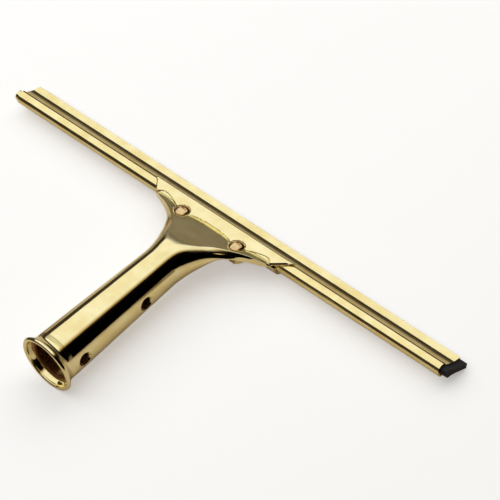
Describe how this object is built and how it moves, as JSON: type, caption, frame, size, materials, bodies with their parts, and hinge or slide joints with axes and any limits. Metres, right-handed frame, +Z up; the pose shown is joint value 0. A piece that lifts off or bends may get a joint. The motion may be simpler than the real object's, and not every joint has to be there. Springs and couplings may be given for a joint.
{
  "type": "window cleaning squeegee",
  "caption": "Polished brass window cleaning squeegee with a tubular handle, a flared clamping head, a straight rolled channel and a black rubber blade.",
  "frame": {"origin": "middle of the box that holds the tool, on the surface it lies on", "axes": "+X along the channel to the end where the rubber stands out, +Y along the handle towards the blade, +Z up from the table"},
  "size_m": [0.3115, 0.1378, 0.033],
  "materials": {
    "handle_brass": "polished",
    "channel_brass": "polished",
    "pale_brass": "satin",
    "screw_brass": "polished",
    "spring_steel": "satin",
    "rubber": "matte"
  },
  "bodies": {
    "handle_unit": {"handle": "handle_brass", "mouth_collar": "handle_brass", "socket_bush": "pale_brass"},
    "lower_jaw_unit": {"lower_jaw": "handle_brass", "left_lock_washer": "spring_steel", "right_lock_washer": "spring_steel", "left_clamp_nut": "screw_brass", "right_clamp_nut": "screw_brass"},
    "left_screw": {"left_clamp_screw": "screw_brass"},
    "right_screw": {"right_clamp_screw": "screw_brass"},
    "channel_unit": {"channel": "channel_brass", "rubber_blade": "rubber", "left_end_clip": "pale_brass", "right_end_clip": "pale_brass"}
  },
  "joints": [
    {"name": "lower_jaw_open", "type": "slide", "parent": "handle_unit", "child": "lower_jaw_unit", "axis": [0, -0.1994, -0.9799], "range_m": [0, 0.0014]},
    {"name": "left_screw_turn", "type": "hinge", "parent": "handle_unit", "child": "left_screw", "pos_m": [-0.0198, 0.04649, 0.01009], "axis": [0, 0.1994, 0.9799], "range_deg": [0, 720]},
    {"name": "right_screw_turn", "type": "hinge", "parent": "handle_unit", "child": "right_screw", "pos_m": [0.0198, 0.04649, 0.01009], "axis": [0, 0.1994, 0.9799], "range_deg": [0, 720]},
    {"name": "channel_slide", "type": "slide", "parent": "handle_unit", "child": "channel_unit", "axis": [1, 0, 0], "range_m": [-0.1, 0.1]}
  ],
  "couplings": [
    {"joint": "left_screw_turn", "follows": "lower_jaw_open", "rad_per_m": 8976},
    {"joint": "right_screw_turn", "follows": "lower_jaw_open", "rad_per_m": 8976}
  ]
}
